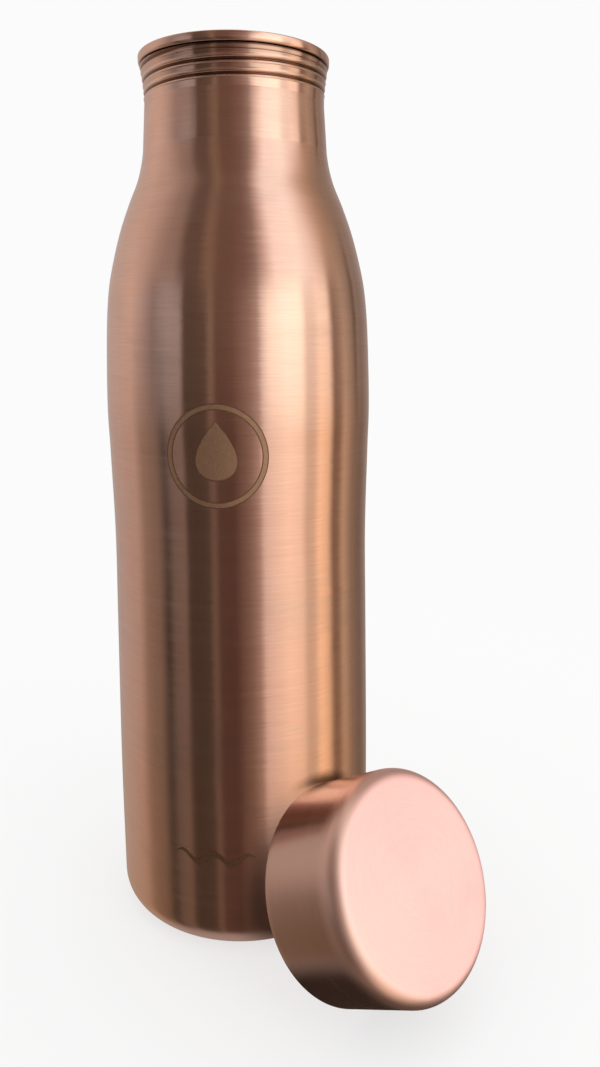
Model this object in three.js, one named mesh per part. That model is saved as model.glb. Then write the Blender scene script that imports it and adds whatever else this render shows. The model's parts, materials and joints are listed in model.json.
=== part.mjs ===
// A copper water bottle standing open, with its screw cap leaning against its foot.
// Millimetres, +Z up. The origin is the centre of the bottle's underside.
import * as THREE from 'three';

// Whole object
const SEGMENTS = 48; // flats round every turned piece
const ROUND_STEPS = 6; // flats in a quarter turn of a rounding
const EDGE_STEPS = 2; // flats in a quarter turn of a sheet's edge
const SHEET = 0.6; // copper sheet of the body, the neck and the cap

// Body: outside radii at named heights
const BOTTLE_HEIGHT = 250;
const FOOT = { radius: 39.7, z: 8 }; // where the foot's rounding ends and the wall begins
const FOOT_OPENING = 27.5; // radius of the hole that the base disc closes
const WAIST = { radius: 37.8, z: 120 };
const SHOULDER = { radius: 38.2, z: 161 };
const NECK_ROOT = { radius: 25.4, z: 226 };
const BODY_ROWS = 30;

// Points of the wall between those heights, as shares of the way up and of the change in radius
const TAPER = [[0.34, 0.16], [0.75, 0.68]];
const SWELL = [[0.63, 0.75]];
const DOME = [[0.4, 0.117], [0.646, 0.398], [0.811, 0.703], [0.915, 0.922]];

// Base disc: its middle fills the foot's opening and its rim is brazed on the foot's turned-in edge
const BASE = { radius: 31, middle: 27, step: 0.4 };

// Neck and lip
const NECK_RADIUS = 24.55;
const NECK_TAPER_MIDDLE = 232; // height where the neck is halfway in from its root
const FLARE_START = 240;
const FLARE_END = 247.3;
const FLARE = 0.85; // how far the neck opens out below the lip
const FLARE_POWER = 1.6; // how late the opening comes
const LIP_RADIUS = 25.85;
const LIP_BOTTOM = 247.75;
const LIP_NOTCH = 0.25; // depth of the slit between the curled lip and the neck
const LIP_CURL = 0.35; // rounding of the lip's lower edge
const LIP_ROUNDING = 0.45; // rounding of its upper edges
const MOUTH_RADIUS = 24.75;

// Screw thread: a right-handed groove rolled into the neck, which stands proud inside it
const THREAD_LEAD = 3.2;
const THREAD_TURNS = 2.5;
const THREAD_START = { z: 238.9, angle: Math.PI / 2 };
const THREAD_DEPTH = 0.7; // how far the ridge stands in from the bore
const THREAD_RELIEF = 0.4; // depth of the groove that shows outside
const THREAD_WIDTH = 2;
const THREAD_RUN_OUT = 0.15; // turns over which the groove fades in and out
const THREAD_ROW = 0.45; // height of one row of facets in the thread

// Cap, in its own frame: its open edge lies on z = 0 and its face looks along +Z
const CAP_RADIUS = 29.6;
const CAP_HEIGHT = 27;
const CAP_ROUNDING = 4;
const CAP_EDGE = SHEET / 2; // the open edge is a full round
const LIP_IN_CAP = 22.5; // height of the bottle's lip inside the closed cap
const CLEARANCE = 0.3;
const SEAL = { inner: 24, outer: 26, height: 2 };
const FLANGE_RADIUS = 26.3;
const PLUG_RADIUS = 23.6;
const PLUG_BORE = 22.2;
const PLUG_BOTTOM = 10.1;

// Where the cap leans: its open edge stands on the ground and its top rests against the body
const CAP_LEAN = THREE.MathUtils.degToRad(30.2); // its face's tilt above the horizontal
const CAP_FACING = THREE.MathUtils.degToRad(-44); // the way its face looks, seen from above
const CAP_BEARING = THREE.MathUtils.degToRad(-57.2); // where it stands, seen from above
const CAP_DISTANCE = 55; // from the bottle's axis to the middle of its open edge

const point = (radius, z) => new THREE.Vector2(radius, z);

// Points between two named places on the wall, from their shares in height and in radius.
function between(from, to, shares) {
  const { lerp } = THREE.MathUtils;
  return shares.map(([up, out]) => point(lerp(from.radius, to.radius, out), lerp(from.z, to.z, up)));
}

// Points on a round corner, from one angle to the other about a centre.
function corner(centreRadius, centreZ, radius, from, to, steps) {
  const points = [];
  for (let i = 0; i <= steps; i += 1) {
    const angle = from + ((to - from) * i) / steps;
    points.push(point(centreRadius + radius * Math.cos(angle), centreZ + radius * Math.sin(angle)));
  }
  return points;
}

// The line that runs one sheet thickness inside an outline drawn from the bottom up.
function insideOf(outline, thickness) {
  return outline.map((here, i) => {
    const before = outline[Math.max(i - 1, 0)];
    const after = outline[Math.min(i + 1, outline.length - 1)];
    const along = after.clone().sub(before).normalize();
    return point(here.x - along.y * thickness, here.y + along.x * thickness);
  });
}

// A closed outline from its outside line, upwards, and its inside line, back down.
function closed(outside, inside) {
  return [...outside, ...inside, outside[0].clone()];
}

// A solid turned about the Z axis.
function turned(outline) {
  return new THREE.LatheGeometry(outline, SEGMENTS).rotateX(Math.PI / 2);
}

// How far into a helical groove a place lies, from 0 outside it to 1 on its bottom.
function grooveShare(thread, angle, z) {
  const share = (angle - thread.angle) / (2 * Math.PI);
  const turns = share + Math.round((z - thread.z) / THREAD_LEAD - share);
  const off = (z - thread.z - turns * THREAD_LEAD) / thread.width;
  if (Math.abs(off) >= 0.5) return 0;
  const ends = Math.min(turns, thread.turns - turns) / THREAD_RUN_OUT;
  return Math.cos(Math.PI * off) ** 2 * THREE.MathUtils.smoothstep(ends, 0, 1);
}

// Moves the points of a turned solid inwards along a thread, by the depth wanted at each radius and height.
function rollThread(geometry, thread, depthAt) {
  const position = geometry.attributes.position;
  for (let i = 0; i < position.count; i += 1) {
    const x = position.getX(i);
    const y = position.getY(i);
    const z = position.getZ(i);
    const radius = Math.hypot(x, y);
    const depth = depthAt(radius, z);
    if (depth > 0) {
      const scale = 1 - (depth * grooveShare(thread, Math.atan2(y, x), z)) / radius;
      position.setXY(i, x * scale, y * scale);
    }
  }
  geometry.computeVertexNormals();
  return geometry;
}

// Heights of the rows of facets between two heights.
function rows(from, to, height) {
  const count = Math.ceil((to - from) / height);
  return Array.from({ length: count + 1 }, (_, i) => from + ((to - from) * i) / count);
}

function bodyShell() {
  const sweep = new THREE.SplineCurve([
    point(FOOT.radius, FOOT.z),
    ...between(FOOT, WAIST, TAPER),
    point(WAIST.radius, WAIST.z),
    ...between(WAIST, SHOULDER, SWELL),
    point(SHOULDER.radius, SHOULDER.z),
    ...between(SHOULDER, NECK_ROOT, DOME),
    point(NECK_ROOT.radius, NECK_ROOT.z),
  ]);
  const rounding = corner(FOOT.radius - FOOT.z, FOOT.z, FOOT.z, -Math.PI / 2, 0, ROUND_STEPS);
  const outside = [
    point(FOOT_OPENING, 0),
    ...rounding.slice(0, -1),
    ...sweep.getSpacedPoints(BODY_ROWS),
  ];
  const inside = insideOf(outside, SHEET);
  inside[0] = point(FOOT_OPENING, SHEET);
  inside[inside.length - 1] = point(NECK_ROOT.radius - SHEET, NECK_ROOT.z);
  return turned(closed(outside, inside.reverse()));
}

function baseDisc() {
  const lower = [
    point(0, 0),
    point(BASE.middle, 0),
    point(BASE.middle + BASE.step, SHEET),
    point(BASE.radius, SHEET),
  ];
  const upper = [
    point(BASE.radius, 2 * SHEET),
    point(BASE.middle + BASE.step - SHEET, 2 * SHEET),
    point(BASE.middle - SHEET, SHEET),
    point(0, SHEET),
  ];
  return turned([...lower, ...upper]);
}

// The neck's outside radius, thread left out.
function neckRadius(z) {
  const rise = Math.max(z - FLARE_START, 0) / (FLARE_END - FLARE_START);
  return NECK_RADIUS + FLARE * rise ** FLARE_POWER;
}

function neckCollar() {
  const threadRows = rows(THREAD_START.z - THREAD_WIDTH / 2, FLARE_END, THREAD_ROW);
  const wall = threadRows.map((z) => point(neckRadius(z), z));
  const bore = wall.map((p) => point(p.x - SHEET, p.y)).reverse();
  const taperRadius = (NECK_ROOT.radius + NECK_RADIUS) / 2;
  const lipTop = BOTTLE_HEIGHT - LIP_ROUNDING;
  const outside = [
    point(NECK_ROOT.radius, NECK_ROOT.z),
    point(taperRadius, NECK_TAPER_MIDDLE),
    ...wall,
    point(neckRadius(FLARE_END) - LIP_NOTCH, (FLARE_END + LIP_BOTTOM) / 2),
    ...corner(LIP_RADIUS - LIP_CURL, LIP_BOTTOM + LIP_CURL, LIP_CURL, -Math.PI / 2, 0, EDGE_STEPS),
    ...corner(LIP_RADIUS - LIP_ROUNDING, lipTop, LIP_ROUNDING, 0, Math.PI / 2, EDGE_STEPS),
  ];
  const inside = [
    ...corner(MOUTH_RADIUS + LIP_ROUNDING, lipTop, LIP_ROUNDING, Math.PI / 2, Math.PI, EDGE_STEPS),
    ...bore,
    point(taperRadius - SHEET, NECK_TAPER_MIDDLE),
    point(NECK_ROOT.radius - SHEET, NECK_ROOT.z),
  ];
  const thread = {
    z: THREAD_START.z,
    angle: THREAD_START.angle,
    turns: THREAD_TURNS,
    width: THREAD_WIDTH,
  };
  const depthAt = (radius, z) => {
    if (z > FLARE_END) return 0;
    return radius > neckRadius(z) - SHEET / 2 ? THREAD_RELIEF : THREAD_DEPTH;
  };
  return rollThread(turned(closed(outside, inside)), thread, depthAt);
}

function capShell() {
  const centre = CAP_RADIUS - CAP_ROUNDING;
  const centreZ = CAP_HEIGHT - CAP_ROUNDING;
  const edgeCentre = CAP_RADIUS - CAP_EDGE;
  const outside = [
    ...corner(edgeCentre, CAP_EDGE, CAP_EDGE, -Math.PI / 2, 0, EDGE_STEPS),
    ...corner(centre, centreZ, CAP_ROUNDING, 0, Math.PI / 2, ROUND_STEPS),
    point(0, CAP_HEIGHT),
  ];
  const inside = [
    point(0, CAP_HEIGHT - SHEET),
    ...corner(centre, centreZ, CAP_ROUNDING - SHEET, Math.PI / 2, 0, ROUND_STEPS),
    ...corner(edgeCentre, CAP_EDGE, CAP_EDGE, Math.PI, 1.5 * Math.PI, EDGE_STEPS),
  ];
  return turned([...outside, ...inside]);
}

// The cap's inner cup: a flange under the cap's top and a wall whose groove takes the neck's thread.
function capPlug() {
  const flangeTop = CAP_HEIGHT - SHEET - CLEARANCE;
  const flangeBottom = flangeTop - SHEET;
  const wallTop = LIP_IN_CAP + CLEARANCE;
  const wall = rows(PLUG_BOTTOM, wallTop, THREAD_ROW).map((z) => point(PLUG_RADIUS, z));
  const outline = [
    point(0, flangeBottom),
    point(PLUG_BORE, flangeBottom),
    point(PLUG_BORE, PLUG_BOTTOM),
    ...wall,
    point(PLUG_RADIUS, flangeBottom),
    point(FLANGE_RADIUS, flangeBottom),
    point(FLANGE_RADIUS, flangeTop),
    point(0, flangeTop),
  ];
  const openTurns = 2; // the groove runs out through the wall's lower edge
  const lipToStart = BOTTLE_HEIGHT - THREAD_START.z;
  const thread = {
    z: LIP_IN_CAP - lipToStart - openTurns * THREAD_LEAD,
    angle: THREAD_START.angle,
    turns: openTurns + THREAD_TURNS + 2 * THREAD_RUN_OUT,
    width: THREAD_WIDTH + 2 * CLEARANCE,
  };
  const ridgeRadius = NECK_RADIUS - SHEET - THREAD_DEPTH;
  const depth = PLUG_RADIUS - ridgeRadius + CLEARANCE;
  const outerWall = (PLUG_RADIUS + PLUG_BORE) / 2;
  const depthAt = (radius, z) => (radius > outerWall && z < wallTop ? depth : 0);
  return rollThread(turned(outline), thread, depthAt);
}

function sealRing() {
  const bottom = LIP_IN_CAP + CLEARANCE;
  const top = bottom + SEAL.height;
  return turned([
    point(SEAL.inner, bottom),
    point(SEAL.outer, bottom),
    point(SEAL.outer, top),
    point(SEAL.inner, top),
    point(SEAL.inner, bottom),
  ]);
}

const brushedCopper = () =>
  new THREE.MeshStandardMaterial({ color: 0xc8906f, roughness: 0.32, metalness: 1 });
const polishedCopper = () =>
  new THREE.MeshStandardMaterial({ color: 0xc98a66, roughness: 0.2, metalness: 1 });
const plainCopper = () =>
  new THREE.MeshStandardMaterial({ color: 0xb9795a, roughness: 0.45, metalness: 1 });
const silicone = () =>
  new THREE.MeshStandardMaterial({ color: 0xe8e4da, roughness: 0.7, metalness: 0 });

function piece(name, geometry, material) {
  const mesh = new THREE.Mesh(geometry, material);
  mesh.name = name;
  return mesh;
}

function bottle() {
  const group = new THREE.Group();
  group.add(piece('body_shell', bodyShell(), brushedCopper()));
  group.add(piece('base_disc', baseDisc(), plainCopper()));
  group.add(piece('neck_collar', neckCollar(), polishedCopper()));
  return group;
}

// The cap's parts, tilted and stood so that the round of the open edge just touches the ground.
function leaningCap() {
  const group = new THREE.Group();
  group.add(piece('cap_shell', capShell(), brushedCopper()));
  group.add(piece('cap_plug', capPlug(), plainCopper()));
  group.add(piece('seal_ring', sealRing(), silicone()));
  const edgeCentre = (CAP_RADIUS - CAP_EDGE) * Math.cos(CAP_LEAN) - CAP_EDGE * Math.sin(CAP_LEAN);
  group.rotation.set(0, Math.PI / 2 - CAP_LEAN, CAP_FACING, 'ZYX');
  group.position.set(
    CAP_DISTANCE * Math.cos(CAP_BEARING),
    CAP_DISTANCE * Math.sin(CAP_BEARING),
    edgeCentre + CAP_EDGE,
  );
  return group;
}

const assembly = new THREE.Group();
assembly.add(bottle());
assembly.add(leaningCap());

export default assembly;
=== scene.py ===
"""A copper water bottle standing open, with its screw cap leaning against its foot."""

import json
import math

import bmesh
import bpy
import numpy as np
from mathutils import Matrix, Vector


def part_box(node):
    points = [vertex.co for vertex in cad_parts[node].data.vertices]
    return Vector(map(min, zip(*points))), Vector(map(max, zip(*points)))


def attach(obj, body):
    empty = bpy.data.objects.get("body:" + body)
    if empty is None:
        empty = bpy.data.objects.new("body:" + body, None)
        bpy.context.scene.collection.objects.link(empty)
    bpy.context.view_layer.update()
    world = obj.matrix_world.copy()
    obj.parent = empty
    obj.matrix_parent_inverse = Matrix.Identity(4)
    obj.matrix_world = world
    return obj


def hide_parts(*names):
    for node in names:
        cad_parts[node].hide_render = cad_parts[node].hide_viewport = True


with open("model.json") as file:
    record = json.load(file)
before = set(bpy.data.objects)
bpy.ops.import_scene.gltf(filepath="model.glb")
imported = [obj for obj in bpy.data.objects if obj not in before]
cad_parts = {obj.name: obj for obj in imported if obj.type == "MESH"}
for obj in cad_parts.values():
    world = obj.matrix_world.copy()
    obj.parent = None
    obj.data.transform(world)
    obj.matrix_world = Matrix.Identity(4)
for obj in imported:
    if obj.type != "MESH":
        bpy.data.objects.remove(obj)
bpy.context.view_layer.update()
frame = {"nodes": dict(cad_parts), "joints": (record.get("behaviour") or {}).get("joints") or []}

# Lengths in millimetres; MM turns one into metres.
MM = 0.001
AROUND = 288  # flats round a turned piece
SHEET = 0.6  # thickness of the copper
TOP = 250  # height of the lip
NECK_ROOT, NECK_RADIUS = 25.4, 24.55  # at the shoulder, and where the thread starts
CLEARANCE = 0.3

# ---------------------------------------------------------------- outlines


def clamp(value):
    return min(max(value, 0.0), 1.0)


def bell(value, middle, width):
    return math.exp(-(((value - middle) / width) ** 2))


def arc(radius, z, size, start, end, steps=10):
    """Points round a corner about (radius, z), from one angle to another in degrees.

    size is one radius, or one across and one up.
    """
    across, up = size if isinstance(size, tuple) else (size, size)
    angles = np.radians(np.linspace(start, end, steps + 1))
    return [(radius + across * math.cos(a), z + up * math.sin(a)) for a in angles]


def smooth(points, step):
    """The smooth line through points, with a point about every step."""
    p = np.array(points, float)
    spans = np.linalg.norm(np.diff(p, axis=0), axis=1)
    slopes = np.diff(p, axis=0) / spans[:, None]
    middle = slopes[1:] * spans[:-1, None] + slopes[:-1] * spans[1:, None]
    middle /= (spans[1:] + spans[:-1])[:, None]
    tangents = np.vstack([slopes[:1], middle, slopes[-1:]])
    line = []
    for i, span in enumerate(spans):
        for t in np.linspace(0, 1, max(2, math.ceil(span / step)), endpoint=False):
            near, far = 1 - t, t
            here = near * near * (1 + 2 * far) * p[i] + far * far * (1 + 2 * near) * p[i + 1]
            lean = near * near * far * tangents[i] - far * far * near * tangents[i + 1]
            line.append(tuple(here + lean * span))
    return line + [tuple(p[-1])]


def inside_of(outline, thickness):
    """The line one thickness inside an outline that runs up the outside."""
    p = np.array(outline, float)
    along = np.gradient(p, axis=0)
    along /= np.linalg.norm(along, axis=1)[:, None]
    return [tuple(q) for q in p + thickness * np.c_[-along[:, 1], along[:, 0]]]


def outside_of_node(name):
    """(radius, z) of the points up the outside of a turned CAD node, in millimetres."""
    mesh = frame["nodes"][name].data
    points = {}
    for face in mesh.polygons:
        outward = Vector(face.center[:2]).normalized().dot(Vector(face.normal[:2]))
        if outward > 0.1:
            for index in face.vertices:
                x, y, z = mesh.vertices[index].co / MM
                points[round(z, 1)] = (math.hypot(x, y), z)
    return [points[z] for z in sorted(points)]


# ---------------------------------------------------------------- meshes


def link(name, vertices, faces, sharp=40):
    """A new smooth object whose edges stay sharp above an angle."""
    mesh = bpy.data.meshes.new(name)
    mesh.from_pydata([tuple(v) for v in vertices], [], faces)
    mesh.validate()
    mesh.shade_smooth()
    mesh.set_sharp_from_angle(angle=math.radians(sharp))
    piece = bpy.data.objects.new(name, mesh)
    bpy.context.scene.collection.objects.link(piece)
    return piece


def spin(name, outline, groove=None, sharp=40, film_and_painted_light=None):
    """A closed solid turned about Z.

    groove(angle, radius, z) is how far a point is pushed inwards. The film function (angle, radius, z,
    pushed) gives brown film or painted shade there, up to 1, or below 0 a painted highlight of pale bare
    metal, down to -1.
    """
    angles = np.linspace(0, 2 * math.pi, AROUND, endpoint=False)
    vertices, rings, film_and_painted_light_values = [], [], []
    for radius, z in outline:
        first = len(vertices)
        if radius < 1e-6:
            rings.append([first] * AROUND)
            vertices.append((0, 0, z * MM))
            film_and_painted_light_values.append(film_and_painted_light(0, radius, z, 0) if film_and_painted_light else 0.0)
            continue
        rings.append(list(range(first, first + AROUND)))
        for angle in angles:
            pushed = groove(angle, radius, z) if groove else 0.0
            reach = (radius - pushed) * MM
            vertices.append((reach * math.cos(angle), reach * math.sin(angle), z * MM))
            film_and_painted_light_values.append(film_and_painted_light(angle, radius, z, pushed) if film_and_painted_light else 0.0)
    on_axis = outline[0][0] < 1e-6
    pairs = list(zip(rings, rings[1:])) + ([] if on_axis else [(rings[-1], rings[0])])
    faces = []
    for lower, upper in pairs:
        for i in range(AROUND):
            j = (i + 1) % AROUND
            corners = dict.fromkeys((lower[i], lower[j], upper[j], upper[i]))
            if len(corners) > 2:
                faces.append(tuple(corners))
    piece = link(name, vertices, faces, sharp)
    layer = piece.data.attributes.new("film_and_painted_light", "FLOAT", "POINT")
    layer.data.foreach_set("value", film_and_painted_light_values)
    return piece


# ---------------------------------------------------------------- screw thread

LEAD = 3.2  # climb in one turn
TURNS = 2.5  # in the neck
RUN_OUT = 0.15  # of a turn, in which the groove comes up to its full depth
START_Z, START_ANGLE = 238.9, math.pi / 2
RIDGE = 0.7  # how far the thread stands into the neck's bore
RELIEF = 0.4  # how deep it shows outside


def rounded(off, width):
    """The section of a thread cut to a round bottom: its depth from 0 to 1, at a height off its middle."""
    return math.cos(math.pi * off / width) ** 2 if abs(off) < width / 2 else 0.0


def beads(off):
    """The two crests of a rolled thread: a broad one over its dip and a sharp one under it."""
    return max(0.8 * bell(off, 1.1, 0.28), bell(off, -0.5, 0.13))


def rolled(off):
    """The section of a thread rolled from outside: a dip between its two beads."""
    reach = (off - 0.3) / (0.5 if off > 0.3 else 0.6)
    dip = math.cos(math.pi / 2 * reach) ** 2 if abs(reach) < 1 else 0.0
    return dip - 0.3 * beads(off)


def helix(z, turns, depth_at):
    """A groove that climbs LEAD a turn from a height at START_ANGLE.

    depth_at(radius, z, off) is its section, with off in millimetres up from its middle.
    """

    def groove(here, radius, height):
        share = (here - START_ANGLE) / (2 * math.pi)
        turn = share + round((height - z) / LEAD - share)
        ends = clamp(min(turn, turns - turn) / RUN_OUT)
        return ends * ends * (3 - 2 * ends) * depth_at(radius, height, height - z - turn * LEAD)

    return groove


def in_dips(angle, radius, z, pushed):
    """Brown film in a cut thread, thicker where it is deeper."""
    return 0.5 * pushed


# ---------------------------------------------------------------- bottle

# The body's outside: a round corner for its foot, then a smooth line. The line runs on up the neck for its
# slope at the seam, and has a close row of points there.
wall_above = [(radius, z) for radius, z in outside_of_node("body_shell") if z > 7.5]
foot = wall_above[0]
NECK_START = wall_above[-1][1]
run_on = smooth(wall_above + [(25.1, 230.2)], 1.5)
wall = arc(foot[0] - foot[1], foot[1], foot[1], -90, 0, 16)[:-1]
wall += [place for place in run_on if place[1] < NECK_START - 0.1]
wall += [(wall_above[-1][0] + 0.005, NECK_START - 0.05), wall_above[-1]]
wall_z = np.array([z for _, z in wall])
wall_radius = np.array([radius for radius, _ in wall])


def body():
    """The drawn shell, with a foot turned in round the opening for the base."""
    opening, edge = 27.5, SHEET / 2
    outside = arc(opening + edge, edge, edge, 180, 270, 4) + wall
    inside = inside_of(wall, SHEET)
    return spin("body", outside + inside[::-1] + [(opening + edge, SHEET)])


def base():
    """A dished disc: flat in the middle, with a rounded step up to the rim that is brazed to the foot."""
    rim, middle = 31.0, 26.6
    lower = [(0, 0), (12, 0), (24, 0)] + arc(middle - 0.3, 0.4, 0.4, -90, -40, 4)
    lower += arc(middle + 0.6, 0.1, 0.5, 140, 90, 4) + [(rim, 0.62)]
    upper = [(rim, 1.2), (middle + 0.4, 1.2)] + arc(middle - 1, 0.9, 0.3, 0, -90, 4)
    return spin("base", lower + upper + [(24, SHEET), (12, SHEET), (0, SHEET)])


def neck():
    """The straight neck with its rolled thread, the flare, and the lip curled out over a slit."""
    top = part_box("neck_collar")[1].z / MM
    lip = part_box("neck_collar")[1].x / MM
    taper_end, flare_start, flare_end, slit_top = 238, 240.0, 247.3, 247.65
    line, slit_depth, mouth_radius = 246.15, 0.5, 24.75

    def radius(z):
        if z < taper_end:
            return NECK_ROOT + (NECK_RADIUS - NECK_ROOT) * (z - NECK_START) / 12
        flare = (max(z - flare_start, 0) / (flare_end - flare_start)) ** 1.6
        return NECK_RADIUS + 0.85 * flare - 0.06 * bell(z, line, 0.1)

    def section(here, z, off):
        if z > flare_end:
            return 0.0
        if here > radius(z) - SHEET / 2:
            return RELIEF * rolled(off)
        return RIDGE * rounded(off, 2.0)

    # Painted highlight: the thread's two beads get film values below 0, so they show pale bare metal
    painted_crest_highlight = helix(START_Z, TURNS, lambda here, z, off: beads(off))

    # Brown film over the threaded neck and on its fine line, with painted shade in the thread's dips and in
    # the slit under the lip, and painted highlights on the crests
    def film_and_painted_light(angle, here, z, pushed):
        if here < radius(min(z, flare_end)) - 0.9 * SHEET:
            return in_dips(angle, here, z, pushed)
        lowest = START_Z + LEAD * ((angle - START_ANGLE) / (2 * math.pi) % 1)
        threaded = clamp((z - lowest) / 0.5) if z < flare_end else 0.0
        slit = 1 - min(abs(z - slit_top + 0.2) / 0.5, 1.0)
        film_and_shade = 0.28 * threaded + 2.2 * max(pushed, 0) + 1.6 * slit + 0.6 * bell(z, line, 0.12)
        return min(film_and_shade, 1.0) - (painted_crest_highlight(angle, here, z) if z < flare_end else 0.0)

    heights = [NECK_START, NECK_START + 0.05] + list(np.linspace(227, 237, 11))
    heights += list(np.linspace(237.3, flare_end, 160))
    side = [(radius(z), z) for z in heights]
    slit_radius = radius(flare_end) - slit_depth
    slit = [(slit_radius, flare_end + 0.1), (slit_radius, slit_top - 0.12)]
    curl = arc(lip - 0.55, slit_top + 1.0, (0.55, 1.0), -90, 0, 10)
    band = [(lip + 0.01, top - 0.9)] + arc(lip - 0.4, top - 0.4, 0.4, 0, 90, 8)
    mouth = arc(mouth_radius + 0.45, top - 0.45, 0.45, 90, 180, 8)
    bore = [(r - SHEET, z) for r, z in side]
    outline = side + slit + curl + band + mouth + bore[::-1]
    return spin("neck", outline, helix(START_Z, TURNS, section), 50, film_and_painted_light)


# ---------------------------------------------------------------- cap

# Its pieces are made in the cap's own frame: the open edge lies at z = 0 and the face looks up.
CAP_RADIUS = 29.6
CAP_HEIGHT = 27.0
LIP_IN_CAP = 22.5  # where the bottle's lip comes to when the cap is closed


def cap_shell():
    """The plain cup, with a thicker film on its skirt than on its face."""
    rounding, edge = 4.0, SHEET / 2
    centre, turn = CAP_RADIUS - rounding, CAP_HEIGHT - rounding
    skirt = arc(CAP_RADIUS - edge, edge, edge, -90, 0, 6)
    skirt += [(CAP_RADIUS, z) for z in np.linspace(2, turn - 1, 12)]
    outside = skirt + arc(centre, turn, rounding, 0, 90, 24)
    outside += [(r, CAP_HEIGHT) for r in (22, 18, 13, 8, 4, 0)]
    inside = [(r, CAP_HEIGHT - SHEET) for r in (0, 8, 16)]
    inside += arc(centre, turn, rounding - SHEET, 90, 0, 16)
    inside += [(CAP_RADIUS - SHEET, z) for z in (16, 8)]
    inside += arc(CAP_RADIUS - edge, edge, edge, 180, 260, 5)

    def film_and_painted_light(angle, radius, z, pushed):
        return 0.36 * clamp((24 - z) / 4)

    return spin("cap_top", outside + inside, film_and_painted_light=film_and_painted_light)


def cap_plug():
    """The inner cup, with a thread cut round its outside and a flange over the washer."""
    radius, bore, bottom, flange = 23.6, 22.2, 10.1, 26.3
    top = CAP_HEIGHT - SHEET - CLEARANCE
    under = top - SHEET
    wall_top = LIP_IN_CAP + 0.3
    inner = [(0, under), (8, under), (16, under)] + arc(bore - 0.8, under - 0.8, 0.8, 90, 0, 6)
    inner += [(bore, z) for z in (18, 14)]
    edge = arc(bore + 0.3, bottom + 0.3, 0.3, 180, 270, 4)
    outer = [(radius, z) for z in np.linspace(bottom, wall_top, 120)] + [(radius, under)]
    rim = arc(flange - 0.3, under + 0.3, 0.3, -90, 90, 8) + [(r, top) for r in (16, 8, 0)]
    start = LIP_IN_CAP - (TOP - START_Z) - 2 * LEAD
    depth = radius - (NECK_RADIUS - SHEET - RIDGE) + CLEARANCE

    def section(here, z, off):
        return depth * rounded(off, 2.6) if here > 22.9 and z < wall_top else 0.0

    cut = helix(start, 2 + TURNS + 2 * RUN_OUT, section)
    return spin("cap_plug_turned", inner + edge + outer + rim, cut, 50, in_dips)


def seal():
    """A soft washer: a rounded section that bulges a little at its sides."""
    inner, outer, bottom, top = 24.0, 26.0, 22.8, 24.8
    middle = ((inner + outer) / 2, (bottom + top) / 2)
    section = []
    for angle in np.linspace(0, 2 * math.pi, 32, endpoint=False):
        c, s = math.cos(angle), math.sin(angle)
        across = math.copysign(abs(c) ** 0.5, c) * (outer - inner) / 2
        up = math.copysign(abs(s) ** 0.5, s) * (top - bottom) / 2
        section.append((middle[0] + across, middle[1] + up))
    return spin("seal", section)


# ---------------------------------------------------------------- etched marks on the front of the body

FRONT = -math.pi / 2


def inlay(name, place, rows, columns, closed, lift):
    """A thin closed sheet let into the wall.

    place(a, b), with a and b from 0 to 1, gives the distance across the front and the height. closed joins
    the last column to the first, and lift is how far the sheet stands over the wall.
    """
    count = columns if closed else columns + 1
    vertices = []
    for off in (lift, -SHEET / 2):
        for i in range(rows + 1):
            for j in range(count):
                across, z = place(i / rows, j / columns)
                radius = float(np.interp(z, wall_z, wall_radius))
                angle = FRONT + across / radius
                reach = (radius + off) * MM
                vertices.append((reach * math.cos(angle), reach * math.sin(angle), z * MM))
    under = (rows + 1) * count
    faces = []
    for i in range(rows):
        for j in range(columns):
            k = (j + 1) % count if closed else j + 1
            a, b, c, d = i * count + j, i * count + k, (i + 1) * count + k, (i + 1) * count + j
            faces += [(a, b, c, d), (under + d, under + c, under + b, under + a)]
    for j in range(columns):
        k = (j + 1) % count if closed else j + 1
        last = rows * count
        faces += [(j, under + j, under + k, k), (last + k, under + last + k, under + last + j, last + j)]
    if not closed:
        for i in range(rows):
            a, d = i * count, (i + 1) * count
            faces += [(a, d, under + d, under + a)]
            a, d = a + columns, d + columns
            faces += [(d, a, under + a, under + d)]
    piece = link(name, vertices, faces, sharp=30)
    recalculate(piece)
    return piece


def recalculate(piece):
    """Turns every face outwards."""
    mesh = bmesh.new()
    mesh.from_mesh(piece.data)
    bmesh.ops.remove_doubles(mesh, verts=mesh.verts, dist=1e-7)
    bmesh.ops.recalc_face_normals(mesh, faces=mesh.faces)
    mesh.to_mesh(piece.data)
    mesh.free()


def ring(middle, z, inner, outer):
    """An annulus."""

    def place(a, b):
        reach = inner + (outer - inner) * a
        return middle + reach * math.sin(2 * math.pi * b), z + reach * math.cos(2 * math.pi * b)

    return place


def drop(middle, z, size, from_share, to_share):
    """A water drop with its point up, between two shares of its outline."""

    def place(a, b):
        share = from_share + (to_share - from_share) * a
        t = 2 * math.pi * b
        across = size * 0.95 * math.sin(t) * math.sin(t / 2) ** 1.1
        up = size * math.cos(t)
        return middle + share * across, z + share * up

    return place


def ripple(middle, z, length, height, thick):
    """A wavy line that thins towards its ends."""

    def place(a, b):
        along = b - 0.5
        fade = 1 - (2 * abs(along)) ** 3
        rise = height * math.sin(b * 5 * math.pi)
        return middle + along * length, z + rise + (a - 0.5) * thick * max(fade, 0.12)

    return place


# ---------------------------------------------------------------- materials


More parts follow.
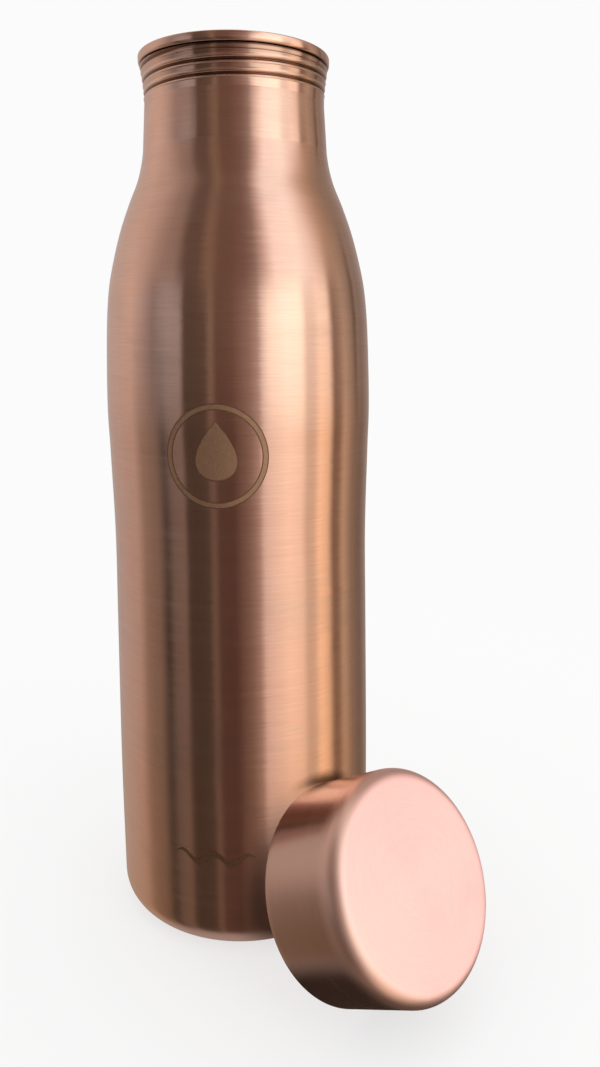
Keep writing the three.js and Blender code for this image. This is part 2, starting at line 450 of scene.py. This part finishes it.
class Nodes:
    """Short ways to add and join the nodes of one material or world."""

    def __init__(self, tree):
        self.tree = tree
        tree.nodes.clear()

    def add(self, kind, **settings):
        node = self.tree.nodes.new(kind)
        for key, value in settings.items():
            setattr(node, key, value)
        return node

    def join(self, source, target):
        """Feeds a socket from another socket, or sets its value; None leaves it alone."""
        if hasattr(source, "is_output"):
            self.tree.links.new(source, target)
        elif source is not None:
            target.default_value = source

    def math(self, operation, a, b=None, clamp=False):
        node = self.add("ShaderNodeMath", operation=operation, use_clamp=clamp)
        for socket, value in zip(node.inputs, (a, b)):
            self.join(value, socket)
        return node.outputs[0]

    def vector(self, operation, a, b=None, scale=None):
        node = self.add("ShaderNodeVectorMath", operation=operation)
        self.join(a, node.inputs[0])
        self.join(b, node.inputs[1])
        if scale is not None:
            self.join(scale, node.inputs["Scale"])
        return node.outputs["Value" if operation == "LENGTH" else "Vector"]

    def split(self, vector):
        node = self.add("ShaderNodeSeparateXYZ")
        self.join(vector, node.inputs[0])
        return node.outputs["X"], node.outputs["Y"], node.outputs["Z"]

    def combine(self, x, y, z):
        node = self.add("ShaderNodeCombineXYZ")
        for socket, value in zip(node.inputs, (x, y, z)):
            self.join(value, socket)
        return node.outputs[0]

    def remap(self, value, low, high, to_low, to_high, kind="LINEAR"):
        node = self.add("ShaderNodeMapRange", interpolation_type=kind)
        names = ("Value", "From Min", "From Max", "To Min", "To Max")
        for name, setting in zip(names, (value, low, high, to_low, to_high)):
            self.join(setting, node.inputs[name])
        return node.outputs["Result"]

    def mix(self, factor, a, b, blend="MIX"):
        """Mixes two colours."""
        node = self.add("ShaderNodeMix", data_type="RGBA", blend_type=blend)
        self.join(factor, node.inputs["Factor"])
        self.join(a if hasattr(a, "is_output") else (*a, 1), node.inputs["A"])
        self.join(b if hasattr(b, "is_output") else (*b, 1), node.inputs["B"])
        return node.outputs["Result"]

    def mix_shaders(self, factor, a, b):
        node = self.add("ShaderNodeMixShader")
        for socket, value in zip(node.inputs, (factor, a, b)):
            self.join(value, socket)
        return node.outputs[0]

    def glow(self, colour):
        node = self.add("ShaderNodeEmission")
        self.join((*colour, 1), node.inputs["Color"])
        return node.outputs[0]

    def noise(self, place, size, detail, output="Fac"):
        """Noise whose largest features are size millimetres wide."""
        node = self.add("ShaderNodeTexNoise")
        self.join(place, node.inputs["Vector"])
        self.join(1 / (size * MM), node.inputs["Scale"])
        self.join(detail, node.inputs["Detail"])
        return node.outputs[output]

    def bump(self, height, strength, depth, normal=None):
        """The normal pushed by a height, depth millimetres deep."""
        node = self.add("ShaderNodeBump")
        self.join(strength, node.inputs["Strength"])
        self.join(depth * MM, node.inputs["Distance"])
        self.join(height, node.inputs["Height"])
        self.join(normal, node.inputs["Normal"])
        return node.outputs[0]

    def finish(self, shader, kind="ShaderNodeOutputMaterial"):
        self.join(shader, self.add(kind).inputs["Surface"])


def new_material(name):
    material = bpy.data.materials.new(name)
    material.use_nodes = True
    return material, Nodes(material.node_tree)


def copper(name, light, deep, roughness, stretch, jitter, wander, tarnish, dull=0.0, contact_shade_reach=0.0):
    """Copper worked on a lathe.

    light and deep are its colours, stretch is how much the lines smear a reflection up and down, jitter how
    much they break its upright edges, wander how uneven the sheet is, tarnish how much brown film it carries,
    dull how much rougher it gets on a cap's rounding and face, and the contact reach how far off a neighbour
    lays painted shade on it, in millimetres.
    """
    material, n = new_material(name)
    place = n.add("ShaderNodeTexCoord").outputs
    x, y, z = n.split(place["Object"])
    across = n.combine(x, y, 0.0)
    outward = n.vector("NORMALIZE", across)
    reach = n.vector("LENGTH", across)
    outward_x, outward_y, _ = n.split(outward)
    around = n.combine(n.math("MULTIPLY", outward_y, -1.0), outward_x, 0.0)

    def lines(period, along, detail):
        """Noise drawn out round the piece: quick over a period up or across it, slow along a turn."""
        noise = n.add("ShaderNodeTexNoise", noise_dimensions="4D")
        flat = n.vector("SCALE", outward, scale=along)
        lifted = n.combine(0.0, 0.0, n.math("DIVIDE", z, period * MM))
        n.join(n.vector("ADD", flat, lifted), noise.inputs["Vector"])
        n.join(n.math("DIVIDE", reach, period * MM), noise.inputs["W"])
        n.join(1.0, noise.inputs["Scale"])
        n.join(detail, noise.inputs["Detail"])
        return noise.outputs["Fac"]

    fine = lines(0.35, 4.0, 2.0)
    broad = lines(2.2, 0.6, 3.0)
    patches = n.noise(place["Object"], 32, 4.0)
    specks = n.noise(place["Object"], 1.6, 2.0)

    # Colour: lines and patches, then brown film and painted shade in the hollows, then bare metal on the
    # edges and painted highlights on the thread's crests
    shade = n.math("ADD", n.math("MULTIPLY", fine, 1.1), n.math("MULTIPLY", broad, 0.6))
    shade = n.math("ADD", shade, n.math("MULTIPLY", patches, 0.9))
    colour = n.mix(n.remap(shade, 0.95, 1.65, 0.0, 1.0), deep, light)
    spread = n.math("ADD", patches, n.math("MULTIPLY", broad, 0.35))
    film_and_shade = n.remap(spread, 0.68, 0.92, 0.0, tarnish, "SMOOTHSTEP")
    # The film value from the mesh: brown film, and painted shade in the neck thread's dips and slit; below 0,
    # painted highlights
    film_and_painted_light = n.add("ShaderNodeAttribute", attribute_name="film_and_painted_light").outputs["Fac"]
    film_and_shade = n.math("MAXIMUM", film_and_shade, n.math("MULTIPLY", film_and_painted_light, 0.9), clamp=True)
    crest_highlight = n.math("MULTIPLY", film_and_painted_light, -1.0, clamp=True)
    colour = n.mix(film_and_shade, colour, (0.13, 0.065, 0.042))
    pointed = n.add("ShaderNodeNewGeometry").outputs["Pointiness"]
    edge = n.remap(pointed, 0.53, 0.6, 0.0, 1.0)
    # Real wear brightens convex edges; the crest values add painted highlights on the thread
    wear_and_highlight = n.math("MULTIPLY", edge, n.remap(patches, 0.4, 0.6, 0.2, 0.8))
    wear_and_highlight = n.math("MAXIMUM", n.math("MULTIPLY", wear_and_highlight, n.math("SUBTRACT", 1.0, film_and_shade)), crest_highlight)
    colour = n.mix(wear_and_highlight, colour, (0.98, 0.74, 0.64))
    # Painted shade: the colour darkens where another part comes within the contact reach, as a contact
    # shadow, though not next to the floor
    if contact_shade_reach:
        near = n.add("ShaderNodeAmbientOcclusion", samples=8)
        n.join(contact_shade_reach * MM, near.inputs["Distance"])
        painted_contact_shade = n.remap(near.outputs["AO"], 0.4, 0.92, 1.0, 0.0)
        painted_contact_shade = n.math("MULTIPLY", painted_contact_shade, n.remap(z, 3 * MM, 14 * MM, 0.0, 1.0))  # not next to the floor
        colour = n.mix(painted_contact_shade, colour, (0.06, 0.025, 0.015))

    surface = n.add("ShaderNodeBsdfPrincipled")
    n.join(colour, surface.inputs["Base Color"])
    n.join(1.0, surface.inputs["Metallic"])
    mood = n.math("ADD", n.math("MULTIPLY", broad, 0.5), n.math("MULTIPLY", patches, 0.5))
    rough = n.remap(mood, 0.3, 0.7, roughness - 0.03, roughness + 0.05)
    face = n.remap(z, 19 * MM, 24 * MM, 0.0, dull, "SMOOTHSTEP")
    rough = n.math("ADD", n.math("ADD", rough, face), n.math("MULTIPLY", crest_highlight, 0.3))
    n.join(rough, surface.inputs["Roughness"])
    n.join(stretch, surface.inputs["Anisotropic"])
    n.join(0.25, surface.inputs["Anisotropic Rotation"])
    tangent = n.add("ShaderNodeTangent", direction_type="RADIAL", axis="Z")
    n.join(tangent.outputs[0], surface.inputs["Tangent"])

    # Normal: pushed sideways by the lines and any way by the dents, then pressed by the fine grain
    push_fine = n.math("MULTIPLY", n.math("SUBTRACT", fine, 0.5), jitter)
    push_broad = n.math("MULTIPLY", n.math("SUBTRACT", broad, 0.5), 0.3 * jitter)
    push = n.math("ADD", push_fine, push_broad)
    dents = n.vector("SUBTRACT", n.noise(place["Object"], 14, 1.0, "Color"), (0.5, 0.5, 0.5))
    normal = n.vector("ADD", place["Normal"], n.vector("SCALE", around, scale=push))
    normal = n.vector("ADD", normal, n.vector("SCALE", dents, scale=wander))
    to_world = n.add("ShaderNodeVectorTransform", vector_type="NORMAL")
    to_world.convert_from, to_world.convert_to = "OBJECT", "WORLD"
    n.join(normal, to_world.inputs[0])
    grain = n.math("ADD", fine, n.math("MULTIPLY", specks, 0.3))
    n.join(n.bump(grain, 0.5, 0.008, to_world.outputs[0]), surface.inputs["Normal"])
    n.finish(surface.outputs[0])
    return material


def speckled(name, light, deep, roughness, metallic, size, depth):
    """A matt surface with a fine grain, size millimetres wide and depth deep."""
    material, n = new_material(name)
    grain = n.noise(n.add("ShaderNodeTexCoord").outputs["Object"], size, 4.0)
    surface = n.add("ShaderNodeBsdfPrincipled")
    colour = n.mix(n.remap(grain, 0.35, 0.65, 0.0, 1.0), deep, light)
    n.join(colour, surface.inputs["Base Color"])
    n.join(n.remap(grain, 0.3, 0.7, roughness - 0.06, roughness + 0.06), surface.inputs["Roughness"])
    n.join(metallic, surface.inputs["Metallic"])
    n.join(n.bump(grain, 0.4, depth), surface.inputs["Normal"])
    n.finish(surface.outputs[0])
    return material


PALE, WARM = (0.95, 0.655, 0.56), (0.90, 0.575, 0.465)
PINK, ROSE = (0.97, 0.68, 0.60), (0.93, 0.62, 0.53)
BROWN, UMBER = (0.86, 0.56, 0.45), (0.78, 0.46, 0.35)
brushed = copper("brushed_copper", PALE, WARM, 0.17, 0.92, 0.025, 0.012, 0.12, contact_shade_reach=4)
polished = copper("polished_copper", PALE, WARM, 0.15, 0.85, 0.02, 0.03, 0.2)
satin = copper("satin_copper", PINK, ROSE, 0.24, 0.35, 0.015, 0.006, 0.1, dull=0.2)
plain = copper("plain_copper", BROWN, UMBER, 0.38, 0.4, 0.06, 0.03, 0.6)
etched = speckled("etched_copper", (0.68, 0.47, 0.34), (0.58, 0.39, 0.27), 0.6, 1.0, 0.5, 0.02)
outlined = speckled("etched_edge", (0.4, 0.25, 0.17), (0.3, 0.18, 0.12), 0.7, 1.0, 0.5, 0.02)
stained = speckled("etched_stain", (0.42, 0.27, 0.19), (0.32, 0.2, 0.13), 0.5, 1.0, 0.5, 0.02)
rubber = speckled("silicone", (0.84, 0.82, 0.78), (0.78, 0.76, 0.71), 0.55, 0.0, 0.8, 0.02)

# ---------------------------------------------------------------- the object


def fit(piece, body_name, material, slot, *nodes, matrix=None):
    """Gives a piece its place, material and body, and the CAD nodes it stands for. Its slot is not used."""
    if matrix is not None:
        piece.matrix_world = matrix
    piece.data.materials.append(material)
    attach(piece, body_name)
    if nodes:
        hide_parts(*nodes)


turn_joint = next(joint for joint in frame["joints"] if joint["name"] == "cap_turn")
facing = Vector(turn_joint["axis"])
leaning = (
    Matrix.Translation(turn_joint["pos_m"])
    @ Matrix.Rotation(math.atan2(facing.y, facing.x), 4, "Z")
    @ Matrix.Rotation(math.acos(facing.z), 4, "Y")
)

fit(body(), "bottle", brushed, "brushed_copper", "body_shell")
fit(base(), "bottle", plain, "plain_copper", "base_disc")
fit(neck(), "bottle", polished, "polished_copper", "neck_collar")
fit(cap_shell(), "cap", satin, "brushed_copper", "cap_shell", matrix=leaning)
fit(cap_plug(), "cap", plain, "plain_copper", "cap_plug", matrix=leaning)
fit(seal(), "seal", rubber, "silicone", "seal_ring", matrix=leaning)
for name in ("cap_top", "cap_plug_turned", "seal"):  # the bottle mirrors the room behind its cap
    bpy.data.objects[name].visible_glossy = False


def etch(name, shape, rows, columns, closed):
    """Lets one mark into the wall twice: a wider dark edge, and the pale middle standing a hair over it."""
    layers = (("edge", 0.28, 0.03, outlined), ("middle", 0.0, 0.06, etched))
    for layer, margin, lift, material in layers:
        sheet = inlay(f"{name}_{layer}", shape(margin), rows, columns, closed, lift)
        fit(sheet, "bottle", material, "brushed_copper")


etch("mark_ring", lambda margin: ring(-5, 147, 12.3 - margin, 13.4 + margin), 2, 180, True)
etch("mark_drop", lambda margin: drop(-5, 148.5, 7.6 + margin, 0.02, 1.0), 6, 120, True)
wave = inlay("mark_wave", ripple(-8, 31, 25, 1.5, 1.9), 2, 160, False, 0.03)
fit(wave, "bottle", stained, "brushed_copper")

# ---------------------------------------------------------------- studio

CAMERA_PLACE = (8.755, -260.304, 179.895)
BACKDROP = (0.965, 0.965, 0.965)

# The room as the copper sees it, by azimuth in degrees from the camera's side: its colour seen low, and high.
ROOM = [
    (-180, (0.42, 0.38, 0.36), (0.45, 0.40, 0.38)),  # pale wall on the left
    (-125, (0.45, 0.38, 0.34), (0.55, 0.47, 0.42)),
    (-103, (0.43, 0.34, 0.29), (0.60, 0.50, 0.43)),
    (-92, (0.24, 0.18, 0.14), (0.48, 0.42, 0.39)),  # grey screen
    (-76, (0.19, 0.145, 0.11), (0.24, 0.22, 0.22)),
    (-67, (0.03, 0.024, 0.02), (0.34, 0.33, 0.33)),  # its post
    (-60, (0.14, 0.11, 0.09), (0.38, 0.37, 0.37)),
    (-49, (0.17, 0.13, 0.105), (0.38, 0.36, 0.36)),
    (-45, (0.055, 0.04, 0.03), (0.085, 0.065, 0.05)),  # dark room behind the camera
    (-27, (0.065, 0.048, 0.035), (0.10, 0.075, 0.055)),
    (-22, (0.16, 0.115, 0.09), (0.24, 0.19, 0.15)),
    (-17, (0.08, 0.045, 0.034), (0.13, 0.085, 0.065)),
    (-4, (0.08, 0.042, 0.031), (0.16, 0.105, 0.08)),
    (10, (0.21, 0.145, 0.115), (0.30, 0.22, 0.19)),
    (18, (0.38, 0.28, 0.24), (0.46, 0.38, 0.34)),
    (22, (0.72, 0.60, 0.54), (0.95, 0.92, 0.85)),  # window
    (28, (0.80, 0.66, 0.57), (1.35, 1.35, 1.20)),
    (44, (1.02, 0.83, 0.66), (1.50, 1.55, 1.40)),
    (56, (0.95, 0.76, 0.58), (1.5, 1.55, 1.35)),
    (62, (0.62, 0.49, 0.37), (0.92, 0.86, 0.76)),  # its frame
    (69, (0.64, 0.51, 0.38), (0.94, 0.86, 0.74)),
    (75, (1.08, 0.79, 0.51), (1.15, 1.05, 0.90)),  # lamp
    (85, (0.84, 0.61, 0.39), (1.10, 1.00, 0.84)),
    (91, (0.18, 0.12, 0.08), (0.22, 0.16, 0.12)),  # its edge
    (98, (0.22, 0.15, 0.10), (0.34, 0.26, 0.2)),
    (105, (0.52, 0.40, 0.27), (0.44, 0.37, 0.29)),
    (118, (0.26, 0.20, 0.15), (0.30, 0.24, 0.19)),
    (124, (0.23, 0.18, 0.135), (0.10, 0.08, 0.06)),
    (129, (0.20, 0.155, 0.12), (0.30, 0.25, 0.20)),
    (136, (0.17, 0.13, 0.10), (0.25, 0.21, 0.18)),
    (180, (0.42, 0.38, 0.36), (0.45, 0.40, 0.38)),
]

# The same room further up, as the shoulder sees it.
UPPER = [
    (-180, (0.45, 0.40, 0.38)),
    (-118, (0.57, 0.48, 0.41)),
    (-92, (0.48, 0.39, 0.34)),
    (-70, (0.28, 0.22, 0.19)),
    (-59, (0.25, 0.20, 0.17)),
    (-51, (0.11, 0.08, 0.06)),
    (-36, (0.12, 0.085, 0.066)),
    (-27, (0.22, 0.155, 0.11)),
    (-16, (0.14, 0.09, 0.065)),
    (-4, (0.14, 0.09, 0.065)),
    (9, (0.17, 0.11, 0.09)),
    (19, (0.25, 0.19, 0.16)),
    (27, (0.55, 0.44, 0.39)),
    (38, (1.05, 1.0, 0.97)),
    (64, (1.12, 1.15, 1.08)),
    (76, (0.97, 0.89, 0.84)),
    (88, (0.66, 0.55, 0.45)),
    (96, (0.50, 0.40, 0.30)),
    (108, (0.37, 0.28, 0.20)),
    (122, (0.27, 0.22, 0.18)),
    (140, (0.28, 0.24, 0.20)),
    (180, (0.45, 0.40, 0.38)),
]


def ramp(n, azimuth, stops, column):
    """The colours of one column of stops, by azimuth."""
    node = n.add("ShaderNodeValToRGB")
    n.join(azimuth, node.inputs[0])
    elements = node.color_ramp.elements
    elements.remove(elements[1])
    for i, stop in enumerate(stops):
        element = elements.new(stop[0] / 360 + 0.5) if i else elements[0]
        element.position = stop[0] / 360 + 0.5
        element.color = (*stop[column], 1)
    return node.outputs[0]


def studio():
    """A backdrop for the camera, white light for matt surfaces and the room for the copper."""
    world = bpy.data.worlds.new("studio")
    world.use_nodes = True
    bpy.context.scene.world = world
    world.cycles.sampling_method = "NONE"
    n = Nodes(world.node_tree)
    x, y, height = n.split(n.add("ShaderNodeTexCoord").outputs["Generated"])
    azimuth = n.math("ARCTAN2", x, n.math("MULTIPLY", y, -1.0))
    azimuth = n.math("ADD", n.math("DIVIDE", azimuth, 2 * math.pi), 0.5)
    rise = n.remap(height, -0.2, 0.12, 0.0, 1.0, "SMOOTHSTEP")
    room = n.mix(rise, ramp(n, azimuth, ROOM, 1), ramp(n, azimuth, ROOM, 2))
    room = n.mix(n.remap(height, 0.21, 0.4, 0.0, 1.0, "SMOOTHSTEP"), room, ramp(n, azimuth, UPPER, 1))
    room = n.mix(n.remap(height, -0.6, -0.35, 1.0, 0.0), room, (0.93, 0.85, 0.70), "MULTIPLY")
    room = n.mix(n.remap(height, -0.95, -0.7, 1.0, 0.0, "SMOOTHSTEP"), room, (0.36, 0.32, 0.30))
    room = n.mix(n.remap(height, 0.93, 0.99, 0.0, 1.0, "SMOOTHSTEP"), room, (0.7, 0.66, 0.62))
    path = n.add("ShaderNodeLightPath").outputs
    seen = n.mix(path["Is Camera Ray"], (1, 1, 1), BACKDROP)
    light = n.add("ShaderNodeBackground")
    n.join(n.mix(path["Is Glossy Ray"], seen, room), light.inputs["Color"])
    n.finish(light.outputs[0], "ShaderNodeOutputWorld")


def floor():
    """A wide pale floor that takes soft shadows near the object and fades into the backdrop further off.

    The copper sees it only as a dark glowing patch of painted shade in front of the cap's foot, and as the
    room elsewhere.
    """
    count, reach = 64, 30.0
    turns = np.linspace(0, 2 * math.pi, count, endpoint=False)
    rim = [(reach * math.cos(turn), reach * math.sin(turn), -0.2 * MM) for turn in turns]
    piece = link("floor", rim, [tuple(range(count))])
    material, n = new_material("floor")
    place = n.add("ShaderNodeTexCoord").outputs["Object"]
    grain = n.add("ShaderNodeTexNoise")
    n.join(place, grain.inputs["Vector"])
    n.join(300.0, grain.inputs["Scale"])
    paper = n.add("ShaderNodeBsdfDiffuse")
    n.join(n.mix(grain.outputs["Fac"], (0.955, 0.955, 0.955), (0.965, 0.965, 0.965)), paper.inputs["Color"])
    far = n.remap(n.vector("LENGTH", place), 0.1, 0.4, 0.7, 1.0, "SMOOTHSTEP")
    seen = n.mix_shaders(far, paper.outputs[0], n.glow(BACKDROP))
    # Painted shade: a dark glowing patch that only glossy rays see, standing in for the shadow round the
    # cap's foot
    middle = Vector(turn_joint["pos_m"]) + facing * 22 * MM
    away = n.vector("SUBTRACT", place, (middle.x, middle.y, 0))
    painted_shade_patch = n.remap(n.vector("LENGTH", away), 0.035, 0.052, 1.0, 0.0, "SMOOTHSTEP")
    clear = n.add("ShaderNodeBsdfTransparent").outputs[0]
    mirrored = n.mix_shaders(painted_shade_patch, clear, n.glow((0.03, 0.018, 0.012)))
    path = n.add("ShaderNodeLightPath")
    n.finish(n.mix_shaders(path.outputs["Is Glossy Ray"], seen, mirrored))
    piece.data.materials.append(material)


def area_light(name, target, direction, distance, size, power, colour=(1, 1, 1)):
    """A square soft light that looks at a place from one direction. The camera doesn't see it."""
    lamp = bpy.data.lights.new(name, "AREA")
    lamp.shape, lamp.size = "SQUARE", size
    lamp.energy, lamp.color = power, colour
    holder = bpy.data.objects.new(name, lamp)
    holder.location = Vector(target) + Vector(direction).normalized() * distance
    holder.rotation_euler = (Vector(target) - holder.location).to_track_quat("-Z", "Y").to_euler()
    holder.visible_camera = False
    bpy.context.scene.collection.objects.link(holder)
    return holder


def lights():
    """One light for the shadows on the floor, and a broad panel that only the cap's outside mirrors."""
    key = area_light("key", (0, 0, 0), (0.9, -0.9, 1.1), 1.7, 0.8, 2.0)
    key.visible_glossy = False
    cap = bpy.data.objects["cap_top"]
    middle = leaning @ Vector((0, 0, CAP_HEIGHT * MM))
    view = (Vector(CAMERA_PLACE) * MM - middle).normalized()
    mirrored = 2 * view.dot(facing) * facing - view
    panel = area_light("panel", middle, mirrored, 0.35, 0.5, 0.58, (0.9, 0.79, 0.97))
    only_cap = bpy.data.collections.new("panel_receivers")
    only_cap.objects.link(cap)
    panel.light_linking.receiver_collection = only_cap


def camera():
    """Close to the front, a little under the lip's height, looking down at the bottle's lower half."""
    focal = 869.1 / 1067 * 36  # for a sensor 36 mm along the picture's long side
    yaw, pitch = math.radians(2.023), math.radians(13.458)
    data = bpy.data.cameras.new("camera")
    data.sensor_fit, data.sensor_width, data.lens = "AUTO", 36, focal
    data.clip_start, data.clip_end = 0.01, 100
    holder = bpy.data.objects.new("camera", data)
    holder.location = Vector(CAMERA_PLACE) * MM
    holder.rotation_euler = (math.pi / 2 - pitch, 0, -yaw)
    bpy.context.scene.collection.objects.link(holder)
    bpy.context.scene.camera = holder


studio()
floor()
lights()
camera()
bpy.context.scene.view_settings.view_transform = "Standard"
